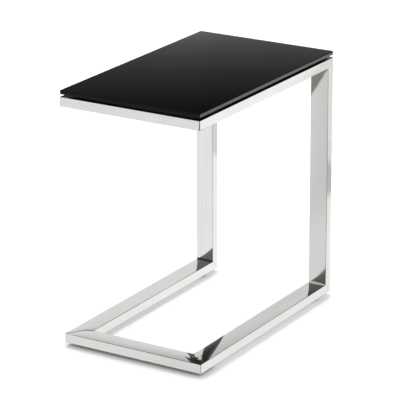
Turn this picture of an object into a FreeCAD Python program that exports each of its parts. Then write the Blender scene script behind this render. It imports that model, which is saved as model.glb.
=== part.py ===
import FreeCAD, Part
import math
import os

import Sketcher

# A cantilever side table. Two open side frames of rectangular tube, mitred and welded, carry a
# floating glass plate. Z is up, X runs across the table, and the open end faces -Y. The origin
# lies on the floor, midway between the feet. All sizes are in millimetres.

SIZES = {
    # the whole
    "tablewidth": 310,
    "tabledepth": 510,
    "frameheight": 500,
    # rectangular tube, and the outer corner of a mitred joint once it is ground
    "tubewide": 40,
    "tubetall": 20,
    "tubewall": 1.5,
    "tubecorner": 0.6,
    "jointcorner": 0.6,
    # welds in the inner corners, ground slightly hollow
    "weldleg": 3,
    "weldhollow": 0.5,
    # glass plate
    "glassthick": 8,
    "glasscorner": 2.5,
    "glassarris": 1,
    # spacer pads between frame and glass
    "spacertall": 4.5,
    "spacerwide": 20,
    "spacercorner": 2,
    "spacerinset": 62,
    # foot pad of a levelling glide, with the seat that its stem turns in
    "glideinset": 46,
    "padtall": 3,
    "paddia": 26,
    "padedge": 0.8,
    "seatlow": 1.2,
    "swivelgap": 0.1,
    # stem of a levelling glide
    "headtall": 1,
    "headdia": 9,
    "neckdia": 5.5,
    "collarflats": 11,
    "collartall": 1.4,
    "stemdia": 6,
    "stemlong": 11,
    "collargap": 0.2,
    # threaded insert of a levelling glide, hexagonal so that it can't turn in its hole
    "screwgap": 0.05,
    "flangetall": 0.8,
    "flangedia": 13,
    "insertflats": 9,
    "insertlong": 11.5,
    "insertgap": 0.05,
    "bulgeflats": 12,
    "bulgetall": 3,
    # how far a cut runs past what it cuts
    "overrun": 5,
}

# Share of a corner radius that lies between the square corner and the middle of the arc, per axis.
ARC_MIDDLE_SHARE = 1 - math.cos(math.pi / 4)
# Corner radius of a hexagon as a share of its width across flats.
HEXAGON_SHARE = 1 / math.sqrt(3)

LEFT, RIGHT = -1, 1
LOW, HIGH = -1, 1

X_AXIS = FreeCAD.Vector(1, 0, 0)
Y_AXIS = FreeCAD.Vector(0, 1, 0)
Z_AXIS = FreeCAD.Vector(0, 0, 1)

doc = FreeCAD.newDocument("side_table")
sheet = doc.addObject("Spreadsheet::Sheet", "sizes")
parts = []


class Measure:
    """A length worked out from the sheet: its value now and the expression that keeps it bound."""

    def __init__(self, value, text):
        self.value = value
        self.text = text

    @staticmethod
    def of(other):
        return other if isinstance(other, Measure) else Measure(float(other), repr(other))

    def __add__(self, other):
        other = Measure.of(other)
        return Measure(self.value + other.value, f"({self.text} + {other.text})")

    def __sub__(self, other):
        other = Measure.of(other)
        return Measure(self.value - other.value, f"({self.text} - {other.text})")

    def __mul__(self, other):
        other = Measure.of(other)
        return Measure(self.value * other.value, f"({self.text} * {other.text})")

    def __truediv__(self, other):
        other = Measure.of(other)
        return Measure(self.value / other.value, f"({self.text} / {other.text})")

    def __neg__(self):
        return self * -1


def fill_sheet():
    """Writes every driving size to the sheet as a named cell."""
    for row, (name, value) in enumerate(SIZES.items(), start=1):
        sheet.set(f"A{row}", name)
        sheet.set(f"B{row}", str(value))
        sheet.setAlias(f"B{row}", name)
    doc.recompute()


def size(name):
    """A driving size, bound to its cell."""
    return Measure(float(sheet.get(name)), f"<<sizes>>.{name}")


def origin_plane(body, role):
    """One of a body's own origin planes."""
    return next(plane for plane in body.Origin.OriginFeatures if plane.Role == role)


def new_body(label, group=None):
    """An empty sub-part, or one solid of a group that shares a node."""
    body = doc.addObject("PartDesign::Body", label)
    body.Label = label
    (parts if group is None else group).append(body)
    return body


def join_group(label, group):
    """One sub-part that holds several separate, identical solids."""
    joined = doc.addObject("Part::Compound", label)
    joined.Label = label
    joined.Links = group
    parts.append(joined)


def new_sketch(body, name, role, up=None):
    """An empty sketch on one of the body's origin planes, or at a height over it."""
    sketch = body.newObject("Sketcher::SketchObject", name)
    sketch.AttachmentSupport = [(origin_plane(body, role), "")]
    sketch.MapMode = "FlatFace"
    if up is not None:
        sketch.setExpression(".AttachmentOffset.Base.z", up.text)
    return sketch


def bind(sketch, kind, references, measure):
    """Adds a dimension to a sketch and ties it to the sheet."""
    index = sketch.addConstraint(Sketcher.Constraint(kind, *references, measure.value))
    name = f"{kind}_{index}"
    sketch.renameConstraint(index, name)
    sketch.setExpression(f"Constraints.{name}", measure.text)


def fix_point(sketch, geometry, end, across, along):
    """Holds a point at its distances from the sketch's origin."""
    for kind, axis, measure in (("DistanceX", -2, across), ("DistanceY", -1, along)):
        if isinstance(measure, Measure):
            bind(sketch, kind, (-1, 1, geometry, end), measure)
        else:
            sketch.addConstraint(Sketcher.Constraint("PointOnObject", geometry, end, axis))


def point(corner):
    """A corner's place in the sketch now."""
    across, along = (Measure.of(measure).value for measure in corner[:2])
    return FreeCAD.Vector(across, along, 0)


def draw_outline(sketch, corners):
    """Draws a closed outline. A corner is (across, along), or (across, along, radius, centre) where
    an arc leads to the next corner."""
    ends = []
    for corner, following in zip(corners, corners[1:] + corners[:1]):
        start, stop = point(corner), point(following)
        if len(corner) == 2:
            ends.append((sketch.addGeometry(Part.LineSegment(start, stop), False), 1, 2))
            continue
        radius, middle = corner[2], point(corner[3])
        turns_left = (start - middle).cross(stop - middle).z > 0
        first, last = (start, stop) if turns_left else (stop, start)
        angles = [math.atan2((end - middle).y, (end - middle).x) for end in (first, last)]
        if angles[1] < angles[0]:
            angles[1] += 2 * math.pi
        circle = Part.Circle(middle, Z_AXIS, radius.value)
        arc = sketch.addGeometry(Part.ArcOfCircle(circle, *angles), False)
        ends.append((arc, 1, 2) if turns_left else (arc, 2, 1))
    for (before, _, leaves), (after, enters, _) in zip(ends[-1:] + ends[:-1], ends):
        sketch.addConstraint(Sketcher.Constraint("Coincident", before, leaves, after, enters))
    for corner, (geometry, enters, _) in zip(corners, ends):
        fix_point(sketch, geometry, enters, *corner[:2])
        if len(corner) > 2:
            bind(sketch, "Radius", (geometry,), corner[2])


def rounded_rectangle(half_across, half_along, radius):
    """Corners of a rectangle about the origin, with rounded corners."""
    corners = []
    for side, end in ((RIGHT, LOW), (RIGHT, HIGH), (LEFT, HIGH), (LEFT, LOW)):
        centre = ((half_across - radius) * side, (half_along - radius) * end)
        on_side = (half_across * side, centre[1])
        on_end = (centre[0], half_along * end)
        entry, leave = (on_end, on_side) if side == -end else (on_side, on_end)
        corners.append((*entry, radius, centre))
        corners.append(leave)
    return corners


def rectangle(half_across, half_along):
    """Corners of a rectangle about the origin."""
    turns = ((RIGHT, LOW), (RIGHT, HIGH), (LEFT, HIGH), (LEFT, LOW))
    return [(half_across * side, half_along * end) for side, end in turns]


def hexagon(flats, along=0):
    """Corners of a hexagon on the sketch's upright axis, from its width across flats."""
    radius, half_flat = flats * HEXAGON_SHARE, flats / 2
    return [
        (radius, along), (radius / 2, half_flat + along), (-radius / 2, half_flat + along),
        (-radius, along), (-radius / 2, -half_flat + along), (radius / 2, -half_flat + along),
    ]


def circle(sketch, radius, along=0):
    """Draws a circle on the sketch's upright axis."""
    drawn = sketch.addGeometry(Part.Circle(point((0, along)), Z_AXIS, radius.value), False)
    fix_point(sketch, drawn, 3, 0, along)
    bind(sketch, "Radius", (drawn,), radius)


def pad(body, sketch, length, both_ways=False, backwards=False):
    """Adds material from a sketch."""
    feature = body.newObject("PartDesign::Pad", f"{sketch.Name}_pad")
    feature.Profile = sketch
    feature.SideType = "Symmetric" if both_ways else "One side"
    feature.Reversed = backwards
    feature.setExpression("Length", length.text)
    doc.recompute()
    return feature


def cut(body, sketch, depth=None):
    """Takes material away: right through both ways, or to a depth. It must take some."""
    before = body.Shape.Volume
    feature = body.newObject("PartDesign::Pocket", f"{sketch.Name}_cut")
    feature.Profile = sketch
    if depth is None:
        feature.Type = "ThroughAll"
        feature.SideType = "Symmetric"
    else:
        feature.setExpression("Length", depth.text)
    doc.recompute()
    if not body.Shape.Volume < before:
        raise RuntimeError(f"{feature.Name} takes nothing away")
    return feature


def turned(body, name, corners):
    """A round body, from half of its section: distance from the axis, then height."""
    sketch = new_sketch(body, f"{name}_section", "XZ_Plane")
    draw_outline(sketch, corners)
    feature = body.newObject("PartDesign::Revolution", f"{name}_turned")
    feature.Profile = sketch
    feature.ReferenceAxis = (sketch, ["V_Axis"])
    feature.Angle = 360
    doc.recompute()
    return feature


def place(body, across, along, up, x_axis=X_AXIS, y_axis=Y_AXIS):
    """Sets a sub-part where it belongs, with its own axes turned to the given directions."""
    rotation = FreeCAD.Rotation(x_axis, y_axis, x_axis.cross(y_axis), "XYZ")
    body.Placement = FreeCAD.Placement(FreeCAD.Vector(), rotation)
    for axis, measure in zip("xyz", (across, along, up)):
        body.setExpression(f".Placement.Base.{axis}", Measure.of(measure).text)
    doc.recompute()


def mitre(body, length, plane, at_end, outer_side):
    """Cuts a tube's end at 45 degrees and rounds the outer corner. The outer side stays longest."""
    flat = plane == "XY_Plane"
    half = size("tubewide" if flat else "tubetall") / 2
    radius, past = size("jointcorner"), size("overrun")
    tip = length if at_end else size("overrun") * 0
    inwards = -1 if at_end else 1
    bite = radius * ARC_MIDDLE_SHARE

    def corner(from_tip, from_middle):
        along, across = tip + from_tip * inwards, from_middle * outer_side
        return (across, along) if flat else (along, across)

    centre = corner(radius, half - radius)
    outline = [
        (*corner(radius, half), radius, centre),
        corner(bite, half - bite),
        corner(half * 2 + past, -half - past),
        corner(-past, -half - past),
        corner(-past, half + past),
        corner(radius, half + past),
    ]
    sketch = new_sketch(body, f"{body.Name}_mitre_{'end' if at_end else 'start'}", plane)
    draw_outline(sketch, outline)
    cut(body, sketch)


def tube(label, length):
    """A length of rectangular tube along its own Y, lying flat and centred on its section."""
    body = new_body(label)
    half_wide, half_tall, wall = size("tubewide") / 2, size("tubetall") / 2, size("tubewall")
    section = new_sketch(body, f"{label}_section", "XZ_Plane")
    draw_outline(section, rounded_rectangle(half_wide, half_tall, size("tubecorner")))
    draw_outline(section, rectangle(half_wide - wall, half_tall - wall))
    pad(body, section, length, backwards=True)
    return body


def weld(label, length, across, along, up, first_leg, second_leg):
    """A ground weld in an inner corner, with a leg along each of the two faces it joins."""
    body = new_body(label)
    leg, hollow = size("weldleg"), size("weldhollow")
    radius = (leg * leg / 2 + hollow * hollow) / (hollow * 2)
    centre = leg / 2 + (radius - hollow) / math.sqrt(2)
    section = new_sketch(body, f"{label}_section", "XY_Plane")
    draw_outline(section, [(0, 0), (leg, 0, radius, (centre, centre)), (0, leg)])
    pad(body, section, length, both_ways=True)
    place(body, across, along, up, first_leg, second_leg)


def build_runner(side_name, side):
    """A base runner, mitred flat to the crossbar and upright to the post, bored for two inserts."""
    depth, inset = size("tabledepth"), size("glideinset")
    body = tube(f"base_runner_{side_name}", depth)
    mitre(body, depth, "XY_Plane", at_end=False, outer_side=side)
    mitre(body, depth, "YZ_Plane", at_end=True, outer_side=LOW)
    holes = new_sketch(body, f"{body.Name}_insert_holes", "XY_Plane")
    for along in (inset, depth - inset):
        draw_outline(holes, hexagon(size("insertflats") + size("insertgap") * 2, along))
    cut(body, holes, size("tubetall"))
    place(body, rail_x * side, -half_depth, base_bottom + size("tubetall") / 2)


def build_top_rail(side_name, side):
    """A side rail of the top frame, mitred flat to the front rail and upright to the post."""
    depth = size("tabledepth")
    body = tube(f"top_rail_{side_name}", depth)
    mitre(body, depth, "XY_Plane", at_end=False, outer_side=side)
    mitre(body, depth, "YZ_Plane", at_end=True, outer_side=HIGH)
    place(body, rail_x * side, -half_depth, frame_top - size("tubetall") / 2)


def build_post(side_name, side):
    """A post at the back, its wide face towards the open end, mitred to runner and side rail."""
    height = size("frameheight")
    body = tube(f"post_{side_name}", height)
    for at_end in (False, True):
        mitre(body, height, "YZ_Plane", at_end, outer_side=LOW)
    place(body, rail_x * side, half_depth - size("tubetall") / 2, base_bottom, X_AXIS, Z_AXIS)


def build_front_tube(label, middle_height):
    """A tube across the open end, mitred flat at both ends."""
    width = size("tablewidth")
    body = tube(label, width)
    for at_end in (False, True):
        mitre(body, width, "XY_Plane", at_end, outer_side=RIGHT)
    place(body, -half_width, size("tubewide") / 2 - half_depth, middle_height, -Y_AXIS, X_AXIS)


def build_back_rail():
    """The rail between the side rails over the posts, cut square."""
    wide = size("tubewide")
    body = tube("top_rail_back", size("tablewidth") - wide * 2)
    middle_height = frame_top - size("tubetall") / 2
    place(body, wide - half_width, half_depth - wide / 2, middle_height, -Y_AXIS, X_AXIS)


def build_welds(side_name, side):
    """The ground welds in the inner corners on one side of the table."""
    wide, tall, corner = size("tubewide"), size("tubetall"), size("tubecorner")
    flat_width, flat_height = wide - corner * 2, tall - corner * 2
    inner_x = (half_width - wide) * side
    inwards = X_AXIS * -side
    base_middle, top_middle = base_bottom + tall / 2, frame_top - tall / 2
    front, back = wide - half_depth, half_depth - wide
    post_face = half_depth - tall
    weld(f"weld_foot_{side_name}", flat_width, rail_x * side, post_face, base_bottom + tall, -Y_AXIS, Z_AXIS)
    weld(f"weld_head_{side_name}", flat_width, rail_x * side, post_face, frame_top - tall, -Y_AXIS, -Z_AXIS)
    weld(f"weld_base_{side_name}", flat_height, inner_x, front, base_middle, inwards, Y_AXIS)
    weld(f"weld_top_front_{side_name}", flat_height, inner_x, front, top_middle, inwards, Y_AXIS)
    weld(f"weld_top_back_{side_name}", flat_height, inner_x, back, top_middle, inwards, -Y_AXIS)


def build_glass():
    """The glass plate, with rounded corners and an arris all round both faces."""
    body = new_body("glass_top")
    thick = size("glassthick")
    outline = new_sketch(body, "glass_outline", "XY_Plane")
    draw_outline(outline, rounded_rectangle(half_width, half_depth, size("glasscorner")))
    plate = pad(body, outline, thick)
    rims = [
        f"Edge{number}"
        for number, edge in enumerate(plate.Shape.Edges, start=1)
        if edge.BoundBox.ZLength < size("glassarris").value / 2
    ]
    arris = body.newObject("PartDesign::Chamfer", "glass_arris")
    arris.Base = (plate, rims)
    arris.setExpression("Size", size("glassarris").text)
    place(body, 0, 0, frame_top + size("spacertall"))


def build_spacer(place_name, side, along):
    """A rubber pad with rounded corners that carries the glass over the frame."""
    body = new_body(f"spacer_{place_name}")
    half = size("spacerwide") / 2
    outline = new_sketch(body, f"{body.Name}_outline", "XY_Plane")
    draw_outline(outline, rounded_rectangle(half, half, size("spacercorner")))
    pad(body, outline, size("spacertall"))
    place(body, rail_x * side, along, frame_top)


def build_foot_pad(place_name, across, along):
    """The foot pad of a glide, hollow for the head of the stem that turns in it."""
    body = new_body(f"glide_pad_{place_name}")
    radius, tall, edge = size("paddia") / 2, size("padtall"), size("padedge")
    gap = size("swivelgap")
    seat, throat = size("headdia") / 2 + gap, size("neckdia") / 2 + gap
    low = size("seatlow")
    high = low + size("headtall") + gap * 2
    turned(body, body.Name, [
        (0, 0), (radius, 0), (radius, tall - edge), (radius - edge, tall),
        (throat, tall), (throat, high), (seat, high), (seat, low), (0, low),
    ])
    place(body, across, along, 0)


def build_stem(place_name, across, along):
    """The stem of a glide: head, neck, hexagonal collar for a spanner, and threaded shank."""
    body = new_body(f"glide_stem_{place_name}")
    gap = size("swivelgap")
    head, neck, shank = size("headdia") / 2, size("neckdia") / 2, size("stemdia") / 2
    low = size("seatlow") + gap
    high = low + size("headtall")
    tip = collar_top + size("stemlong")
    turned(body, body.Name, [
        (0, low), (head, low), (head, high), (neck, high), (neck, collar_top),
        (shank, collar_top), (shank, tip), (0, tip),
    ])
    collar = new_sketch(body, f"{body.Name}_collar", "XY_Plane", collar_base)
    draw_outline(collar, hexagon(size("collarflats")))
    pad(body, collar, size("collartall"))
    place(body, across, along, 0)


def build_insert(group, across, along):
    """The threaded insert in a runner's underside: flange below the wall, bulge above it."""
    body = new_body(f"glide_insert_{len(group) + 1}", group)
    flange = new_sketch(body, f"{body.Name}_flange", "XY_Plane", flange_base)
    circle(flange, size("flangedia") / 2)
    pad(body, flange, size("flangetall"))
    levels = (("shank", base_bottom, "insertlong"), ("bulge", base_bottom + size("tubewall"), "bulgetall"))
    for part_name, up, tall in levels:
        outline = new_sketch(body, f"{body.Name}_{part_name}", "XY_Plane", up)
        draw_outline(outline, hexagon(size("insertflats" if part_name == "shank" else "bulgeflats")))
        pad(body, outline, size(tall))
    bore = new_sketch(body, f"{body.Name}_bore", "XY_Plane")
    circle(bore, size("stemdia") / 2 + size("screwgap"))
    cut(body, bore)
    place(body, across, along, 0)


def check_document():
    """Stops if any object failed or any sub-part lacks a sound solid."""
    for item in doc.Objects:
        if "Invalid" in item.State or "Error" in item.State:
            raise RuntimeError(f"{item.Name} failed: {item.State}")
    for item in parts:
        solids = len(item.Links) if hasattr(item, "Links") else 1
        if item.Shape.isNull() or not item.Shape.isValid() or len(item.Shape.Solids) != solids:
            raise RuntimeError(f"{item.Label} is not sound")


fill_sheet()

half_width, half_depth = size("tablewidth") / 2, size("tabledepth") / 2
rail_x = half_width - size("tubewide") / 2
collar_base = size("padtall") + size("swivelgap")
collar_top = collar_base + size("collartall")
flange_base = collar_top + size("collargap")
base_bottom = flange_base + size("flangetall")
frame_top = base_bottom + size("frameheight")

build_glass()
build_front_tube("top_rail_front", frame_top - size("tubetall") / 2)
build_back_rail()
build_front_tube("base_crossbar", base_bottom + size("tubetall") / 2)
spacer_y = half_depth - size("spacerinset")
glide_y = half_depth - size("glideinset")
inserts = []
for side_name, side in (("left", LEFT), ("right", RIGHT)):
    build_top_rail(side_name, side)
    build_post(side_name, side)
    build_runner(side_name, side)
    build_welds(side_name, side)
    for end_name, along in (("front", -spacer_y), ("middle", 0), ("back", spacer_y)):
        build_spacer(f"{end_name}_{side_name}", side, along)
    for end_name, along in (("front", -glide_y), ("back", glide_y)):
        place_name, across = f"{end_name}_{side_name}", rail_x * side
        build_foot_pad(place_name, across, along)
        build_stem(place_name, across, along)
        build_insert(inserts, across, along)
join_group("glide_inserts", inserts)

doc.recompute()
check_document()
os.makedirs("parts", exist_ok=True)
for item in parts:
    item.Shape.exportStep(f"parts/{item.Label}.step")
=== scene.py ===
import logging
import math
from collections.abc import Callable
from dataclasses import dataclass, field, replace
from enum import Enum

import bmesh
import bpy
from mathutils import Matrix, Vector, noise


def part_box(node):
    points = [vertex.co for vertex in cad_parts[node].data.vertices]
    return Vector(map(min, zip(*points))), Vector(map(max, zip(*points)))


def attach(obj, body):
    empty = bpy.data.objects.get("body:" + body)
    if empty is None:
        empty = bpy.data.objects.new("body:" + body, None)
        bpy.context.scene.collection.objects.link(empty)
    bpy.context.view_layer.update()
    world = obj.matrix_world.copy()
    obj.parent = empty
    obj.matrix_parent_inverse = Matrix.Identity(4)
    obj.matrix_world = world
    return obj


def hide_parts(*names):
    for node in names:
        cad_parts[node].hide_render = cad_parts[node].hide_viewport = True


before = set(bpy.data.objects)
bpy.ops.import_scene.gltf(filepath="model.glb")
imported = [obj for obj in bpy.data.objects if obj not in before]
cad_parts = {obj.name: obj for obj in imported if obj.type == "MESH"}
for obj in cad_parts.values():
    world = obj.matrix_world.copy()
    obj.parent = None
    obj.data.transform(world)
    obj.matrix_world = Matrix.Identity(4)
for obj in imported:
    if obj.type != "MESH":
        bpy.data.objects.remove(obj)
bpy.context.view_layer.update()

# A cantilever side table: a mirror-polished frame of rectangular tube under a floating black glass
# plate, on four levelling glides. Metres, Z up, X across the table, the open end faces -Y.

logging.basicConfig(level=logging.INFO, format="%(message)s")
log = logging.getLogger("side_table")

Mesh = bmesh.types.BMesh
Material = bpy.types.Material
Node = bpy.types.Node
Socket = bpy.types.NodeSocket
Colour = tuple[float, float, float, float]
Pair = tuple[float, float]
Points = tuple[Pair, ...]
# A slope is two values, and the two places between which the first turns into the second.
Slope = tuple[float, float, float, float]

MM = 0.001
FRAME_BODY = "frame"
ZINC_SLOT = "zinc_steel"
WHITE = (1.0, 1.0, 1.0, 1.0)
SAME = 1e-7
ON_PLANE = 1e-8
HEXAGON = 6
LEANING = 0.5
RIGHT_ANGLED = 1.0
FORWARDS, BACKWARDS, UP = Vector((0, -1, 0)), Vector((0, 1, 0)), Vector((0, 0, 1))
STAND_UP = Matrix.Rotation(math.pi / 2, 3, "X")


class Run(Enum):
    """The direction in which a tube runs, and its polishing lines with it."""

    ACROSS = 0
    ALONG = 1
    UPRIGHT = 2


class Joint(Enum):
    """How a tube's end is cut: mitred along an axis of its own section, or square."""

    IN_PLAN = 0
    IN_ELEVATION = 2
    SQUARE = -1


class Side(Enum):
    """A side of the table, or of a tube's own section."""

    LOW = -1
    HIGH = 1


class GlassFace(Enum):
    """The finishes of the glass plate's faces, in the order of its materials."""

    BARE = 0
    GROUND = 1
    PAINTED = 2
    # Polished side edges, painted paler as painted light.
    POLISHED_LIT = 3


SIDES = {"left": Side.LOW, "right": Side.HIGH}


# Meshes: what every piece is made and finished with.


def smooth_by_angle(bm: Mesh, degrees: float) -> None:
    """Shades a mesh smooth, and keeps its edges sharp past an angle.

    Args:
        bm: the mesh.
        degrees: the angle between two faces past which their edge stays sharp.
    """
    for face in bm.faces:
        face.smooth = True
    for edge in bm.edges:
        if len(edge.link_faces) == 2:
            edge.smooth = edge.calc_face_angle(0.0) < math.radians(degrees)


def new_object(name: str, bm: Mesh, materials: list[Material]) -> bpy.types.Object:
    """Makes an object of a finished mesh.

    Args:
        name: the object's name.
        bm: its mesh, in place. It is freed here.
        materials: its materials, in the order of their indexes.

    Returns:
        The object.
    """
    mesh = bpy.data.meshes.new(name)
    bm.to_mesh(mesh)
    bm.free()
    for material in materials:
        mesh.materials.append(material)
    item = bpy.data.objects.new(name, mesh)
    bpy.context.scene.collection.objects.link(item)
    return item


def finished_piece(
    name: str, bm: Mesh, materials: list[Material], node: str, body: str = FRAME_BODY,
) -> bpy.types.Object:
    """Makes a piece of the table, sets it on its body and lets it stand for its node.

    Args:
        name: the piece's name.
        bm: its mesh, in place. It is freed here.
        materials: its materials, in the order of their indexes.
        node: the node that it stands for.
        body: the body that it rides on.

    Returns:
        The piece's object.
    """
    piece = new_object(name, bm, materials)
    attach(piece, body)
    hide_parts(node)
    log.info("%s: %d faces, stands for %s", name, len(piece.data.polygons), node)
    return piece


def take_in(bm: Mesh, part: Mesh) -> None:
    """Adds one mesh to another.

    Args:
        bm: the mesh that gets the other.
        part: the other, which is freed here.
    """
    mesh = bpy.data.meshes.new("part")
    part.to_mesh(mesh)
    part.free()
    bm.from_mesh(mesh)
    bpy.data.meshes.remove(mesh)


def open_edges(bm: Mesh) -> list[bmesh.types.BMEdge]:
    """The edges of a mesh that have only one face."""
    return [edge for edge in bm.edges if len(edge.link_faces) == 1]


def sharp_edges(bm: Mesh, angle: float) -> list[bmesh.types.BMEdge]:
    """The edges of a mesh that are sharper than an angle."""
    return [edge for edge in bm.edges if edge.calc_face_angle(0.0) > angle]


def face_outwards(bm: Mesh) -> None:
    """Turns every face of a mesh outwards."""
    bmesh.ops.recalc_face_normals(bm, faces=bm.faces)


def shift(bm: Mesh, way: Vector | tuple) -> None:
    """Moves a mesh."""
    bmesh.ops.translate(bm, vec=way, verts=bm.verts)


def fill_ring(bm: Mesh, rim: list[bmesh.types.BMEdge]) -> None:
    """Closes the flat ring between an outer and an inner loop of edges."""
    bmesh.ops.triangle_fill(bm, edges=rim, use_beauty=False, use_dissolve=False)


def bevel(bm: Mesh, geom: list, width: float, segments: int, affect: str = "EDGES") -> None:
    """Rounds edges, or the corners of a section."""
    bmesh.ops.bevel(
        bm, geom=geom, offset=width, offset_type="OFFSET", segments=segments, profile=0.5,
        affect=affect, material=-1,
    )


def sweep(
    bm: Mesh, geom: list, steps: int, move: tuple = (0, 0, 0), turn: float = 0.0, about: tuple = (0, 0, 0),
) -> list:
    """Sweeps a section along a line and about an upright axis.

    Args:
        bm: the mesh.
        geom: the section's vertices and edges.
        steps: how many steps it takes.
        move: the line's part in each step.
        turn: the whole turn. One full turn closes on itself.
        about: a point of the axis.

    Returns:
        The section at its last place.
    """
    made = bmesh.ops.spin(
        bm, geom=geom, cent=about, axis=(0, 0, 1), angle=turn, dvec=move, steps=steps,
        use_merge=turn == math.tau, use_duplicate=False,
    )
    return made["geom_last"]


def rounded_block(node: str, radius: float, segments: int) -> Mesh:
    """A block as large as a node and in its place, with its upright edges rounded.

    Args:
        node: the node.
        radius: the upright edges' radius.
        segments: how many faces each of them gets.

    Returns:
        The block's mesh.
    """
    low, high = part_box(node)
    bm = bmesh.new()
    bmesh.ops.create_cube(bm, size=1.0)
    bmesh.ops.scale(bm, vec=high - low, verts=bm.verts)
    shift(bm, (low + high) / 2)
    upright = [edge for edge in bm.edges if edge.verts[0].co.z != edge.verts[1].co.z]
    bevel(bm, upright, radius, segments)
    return bm


def cut_plane(
    bm: Mesh, point: Vector, normal: Vector, clear: bool = False, faces: list | None = None,
) -> None:
    """Cuts a mesh along a plane.

    Args:
        bm: the mesh.
        point: a point of the plane.
        normal: the plane's normal.
        clear: whether what lies on the normal's side goes.
        faces: the faces to cut, or all where none are given.
    """
    geometry = list(bm.verts) + list(bm.edges) + list(bm.faces)
    if faces is not None:
        verts = dict.fromkeys(vert for face in faces for vert in face.verts)
        edges = dict.fromkeys(edge for face in faces for edge in face.edges)
        geometry = list(verts) + list(edges) + list(faces)
    bmesh.ops.bisect_plane(
        bm, geom=geometry, dist=ON_PLANE, plane_co=point, plane_no=normal, clear_outer=clear,
    )


# Finishes: a node tree with short ways to write it, and each finish of the table.


class Graph:
    """The node tree of a material or a world, with short ways to add and join nodes."""

    def __init__(self, owner: Material | bpy.types.World) -> None:
        """Starts an empty tree.

        Args:
            owner: the material or the world.
        """
        owner.use_nodes = True
        self.owner = owner
        self.tree = owner.node_tree
        self.tree.nodes.clear()
        kind = "World" if isinstance(owner, bpy.types.World) else "Material"
        self.output = self.add(f"Output{kind}")

    def add(self, kind: str, inputs: dict | None = None, **settings: object) -> Node:
        """Adds a node.

        Args:
            kind: the node's type, without its leading word.
            inputs: values, nodes or their sockets, by the name or number of the input.
            settings: the node's own settings.

        Returns:
            The node.
        """
        node = self.tree.nodes.new(f"ShaderNode{kind}")
        for name, value in settings.items():
            setattr(node, name, value)
        for name, value in (inputs or {}).items():
            source = value.outputs[0] if isinstance(value, Node) else value
            if isinstance(source, Socket):
                self.tree.links.new(source, node.inputs[name])
            else:
                node.inputs[name].default_value = source
        return node

    def place(self) -> Socket:
        """The place of a point on the piece."""
        return self.add("TexCoord").outputs["Object"]

    def axes(self, vector: Socket | None = None) -> list[Socket]:
        """A vector, or the place of a point on the piece, one socket for each axis."""
        return list(self.add("SeparateXYZ", {0: vector or self.place()}).outputs)

    def facing(self) -> list[Socket]:
        """The way the surface looks, one socket for each axis."""
        return self.axes(self.add("NewGeometry").outputs["Normal"])

    def maths(self, operation: str, *values: object) -> Socket:
        """A sum, product or other operation on numbers or sockets."""
        return self.add("Math", dict(enumerate(values)), operation=operation).outputs[0]

    def times(self, first: object, second: object) -> Socket:
        """Two numbers multiplied."""
        return self.maths("MULTIPLY", first, second)

    def less(self, first: object, second: object) -> Socket:
        """The first number less the second."""
        return self.maths("SUBTRACT", first, second)

    def apart(self, first: object, second: object) -> Socket:
        """How far two numbers are apart."""
        return self.maths("ABSOLUTE", self.less(first, second))

    def along(self, first: Socket, second: Socket, direction: Pair) -> Socket:
        """How far a point lies along a direction, from its places on two axes."""
        return self.maths("MULTIPLY_ADD", second, direction[1], self.times(first, direction[0]))

    def between(self, share: Socket, first: object, second: object) -> Socket:
        """A number between two, by a share from 0 to 1."""
        return self.maths("MULTIPLY_ADD", share, self.less(second, first), first)

    def spread(self, value: Socket, low: float, high: float, start: float = 0.0, end: float = 1.0) -> Socket:
        """A value's range start to end spread over low to high."""
        inputs = {"Value": value, "From Min": start, "From Max": end, "To Min": low, "To Max": high}
        return self.add("MapRange", inputs).outputs[0]

    def ramp(self, value: Socket, stops: Points) -> Socket:
        """A brightness read off a line of stops.

        Args:
            value: a length in metres.
            stops: lengths with the brightness there, at most 1 each.

        Returns:
            The brightness.
        """
        reach = stops[-1][0]
        node = self.add("ValToRGB", {"Fac": self.maths("DIVIDE", value, reach)})
        line = node.color_ramp
        for place, _ in stops[1:-1]:
            line.elements.new(place / reach)
        for element, (place, bright) in zip(line.elements, stops):
            element.position = place / reach
            element.color = (bright, bright, bright, 1.0)
        return node.outputs["Color"]

    def noise(self, scale: float, detail: float, stretch: tuple | None = None) -> Socket:
        """A noise over the piece, from 0 to 1.

        Args:
            scale: features in a metre.
            detail: how many finer layers it has.
            stretch: how much finer it is along each axis.

        Returns:
            The noise's socket.
        """
        vector = self.place()
        if stretch is not None:
            vector = self.add("Mapping", {"Vector": vector, "Scale": stretch})
        return self.add("TexNoise", {"Vector": vector, "Scale": scale, "Detail": detail}).outputs["Fac"]

    def blend(self, share: object, first: object, second: object) -> Socket:
        """Two colours, blended by a share from 0 to 1."""
        return self.add("Mix", {0: share, 6: first, 7: second}, data_type="RGBA").outputs[2]

    def glow(self, strength: object, colour: object = WHITE) -> Node:
        """A shader that shines."""
        return self.add("Emission", {"Color": colour, "Strength": strength})

    def mix(self, share: Socket, first: Node, second: Node) -> Node:
        """Two shaders, mixed by a share from 0 to 1."""
        return self.add("MixShader", {0: share, 1: first, 2: second})

    def surface(self, colour: object, gloss: object, bump: Pair, height: Socket, **more: object) -> Material:
        """Gives the material a solid surface.

        Args:
            colour: its colour.
            gloss: its roughness.
            bump: the strength and the depth of its bumps.
            height: where they are high.
            more: other inputs of the shader, with _ for each space in their names.

        Returns:
            The material.
        """
        bumps = self.add("Bump", {"Strength": bump[0], "Distance": bump[1], "Height": height})
        inputs = {name.replace("_", " "): value for name, value in more.items()}
        return self.shade(self.add("BsdfPrincipled", {
            "Base Color": colour, "Roughness": gloss, "Normal": bumps, **inputs,
        }))

    def shade(self, shader: Node) -> Material | bpy.types.World:
        """Joins a shader to the output and gives the tree's owner."""
        self.tree.links.new(shader.outputs[0], self.output.inputs["Surface"])
        return self.owner


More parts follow.
